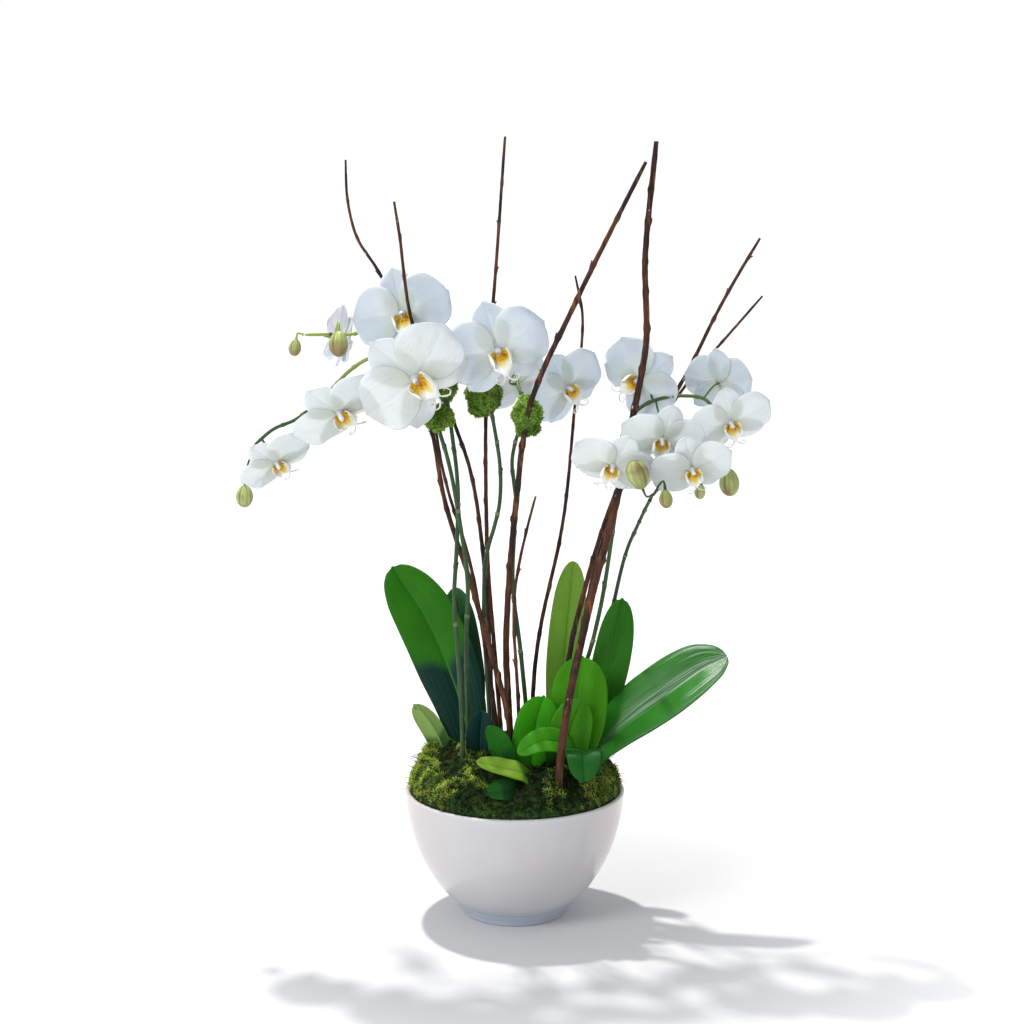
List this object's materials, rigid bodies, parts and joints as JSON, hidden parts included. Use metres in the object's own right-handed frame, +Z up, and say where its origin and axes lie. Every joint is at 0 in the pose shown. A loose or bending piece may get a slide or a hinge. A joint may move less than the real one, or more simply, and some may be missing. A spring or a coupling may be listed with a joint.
{
  "type": "potted orchid",
  "caption": "White moth orchids in a round glazed bowl, with strap leaves, arching flower spikes, tied moss and tall bare twigs.",
  "frame": {"origin": "middle of the bowl's flat underside, on the surface it stands on", "axes": "+Z up along the bowl's axis; -Y towards the front, where most blossoms face; +X to the right"},
  "size_m": [0.5464, 0.23, 0.8081],
  "materials": {
    "bowl_glaze": "glossy white glaze, slightly warm",
    "bark_chips": "rough, dry, broken chips",
    "moss": "soft cushion moss, bright tips over dark roots",
    "leaf_green": "thick, waxy and glossy with a pale midrib groove",
    "twig_bark": "smooth young bark with pale pores and buds",
    "stem_green": "smooth green stem with darker joints",
    "petal_white": "soft white, finely veined, slightly see-through",
    "bud_green": "smooth yellow-green with a brown flush"
  },
  "bodies": {
    "root": {"bowl": "bowl_glaze", "potting_bark": "bark_chips", "moss_mound": "moss", "moss_clump_1": "moss", "moss_clump_2": "moss", "moss_clump_3": "moss", "moss_clump_4": "moss", "leaf_left_large": "leaf_green", "leaf_left_back": "leaf_green", "leaf_left_small": "leaf_green", "leaf_left_inner": "leaf_green", "leaf_right_upright": "leaf_green", "leaf_right_dark": "leaf_green", "leaf_front_upright": "leaf_green", "leaf_young_bright": "leaf_green", "leaf_front_right": "leaf_green", "leaf_long_arching": "leaf_green", "leaf_right_behind": "leaf_green", "leaf_front_left": "leaf_green", "leaf_front_folded": "leaf_green", "leaf_front_low": "leaf_green", "leaf_front_under": "leaf_green", "leaf_front_drooping": "leaf_green", "twig_left_long": "twig_bark", "twig_left_behind": "twig_bark", "twig_left_short": "twig_bark", "twig_middle": "twig_bark", "twig_upright": "twig_bark", "twig_slanted": "twig_bark", "twig_back": "twig_bark", "twig_right_long": "twig_bark", "twig_right_behind": "twig_bark", "twig_stub": "twig_bark", "flower_spike_left_low": "stem_green", "flower_spike_left_high": "stem_green", "flower_spike_middle": "stem_green", "flower_spike_front": "stem_green", "flower_spike_right_behind": "stem_green", "flower_spike_right": "stem_green", "blossom_1": "petal_white", "blossom_2": "petal_white", "blossom_3": "petal_white", "blossom_4": "petal_white", "blossom_5": "petal_white", "blossom_6": "petal_white", "blossom_7": "petal_white", "blossom_8": "petal_white", "blossom_9": "petal_white", "blossom_10": "petal_white", "blossom_11": "petal_white", "blossom_12": "petal_white", "blossom_13": "petal_white", "blossom_14": "petal_white", "bud_1": "bud_green", "bud_2": "bud_green", "bud_3": "bud_green", "bud_4": "bud_green", "bud_5": "bud_green", "bud_6": "bud_green", "bud_7": "bud_green"}
  },
  "joints": []
}
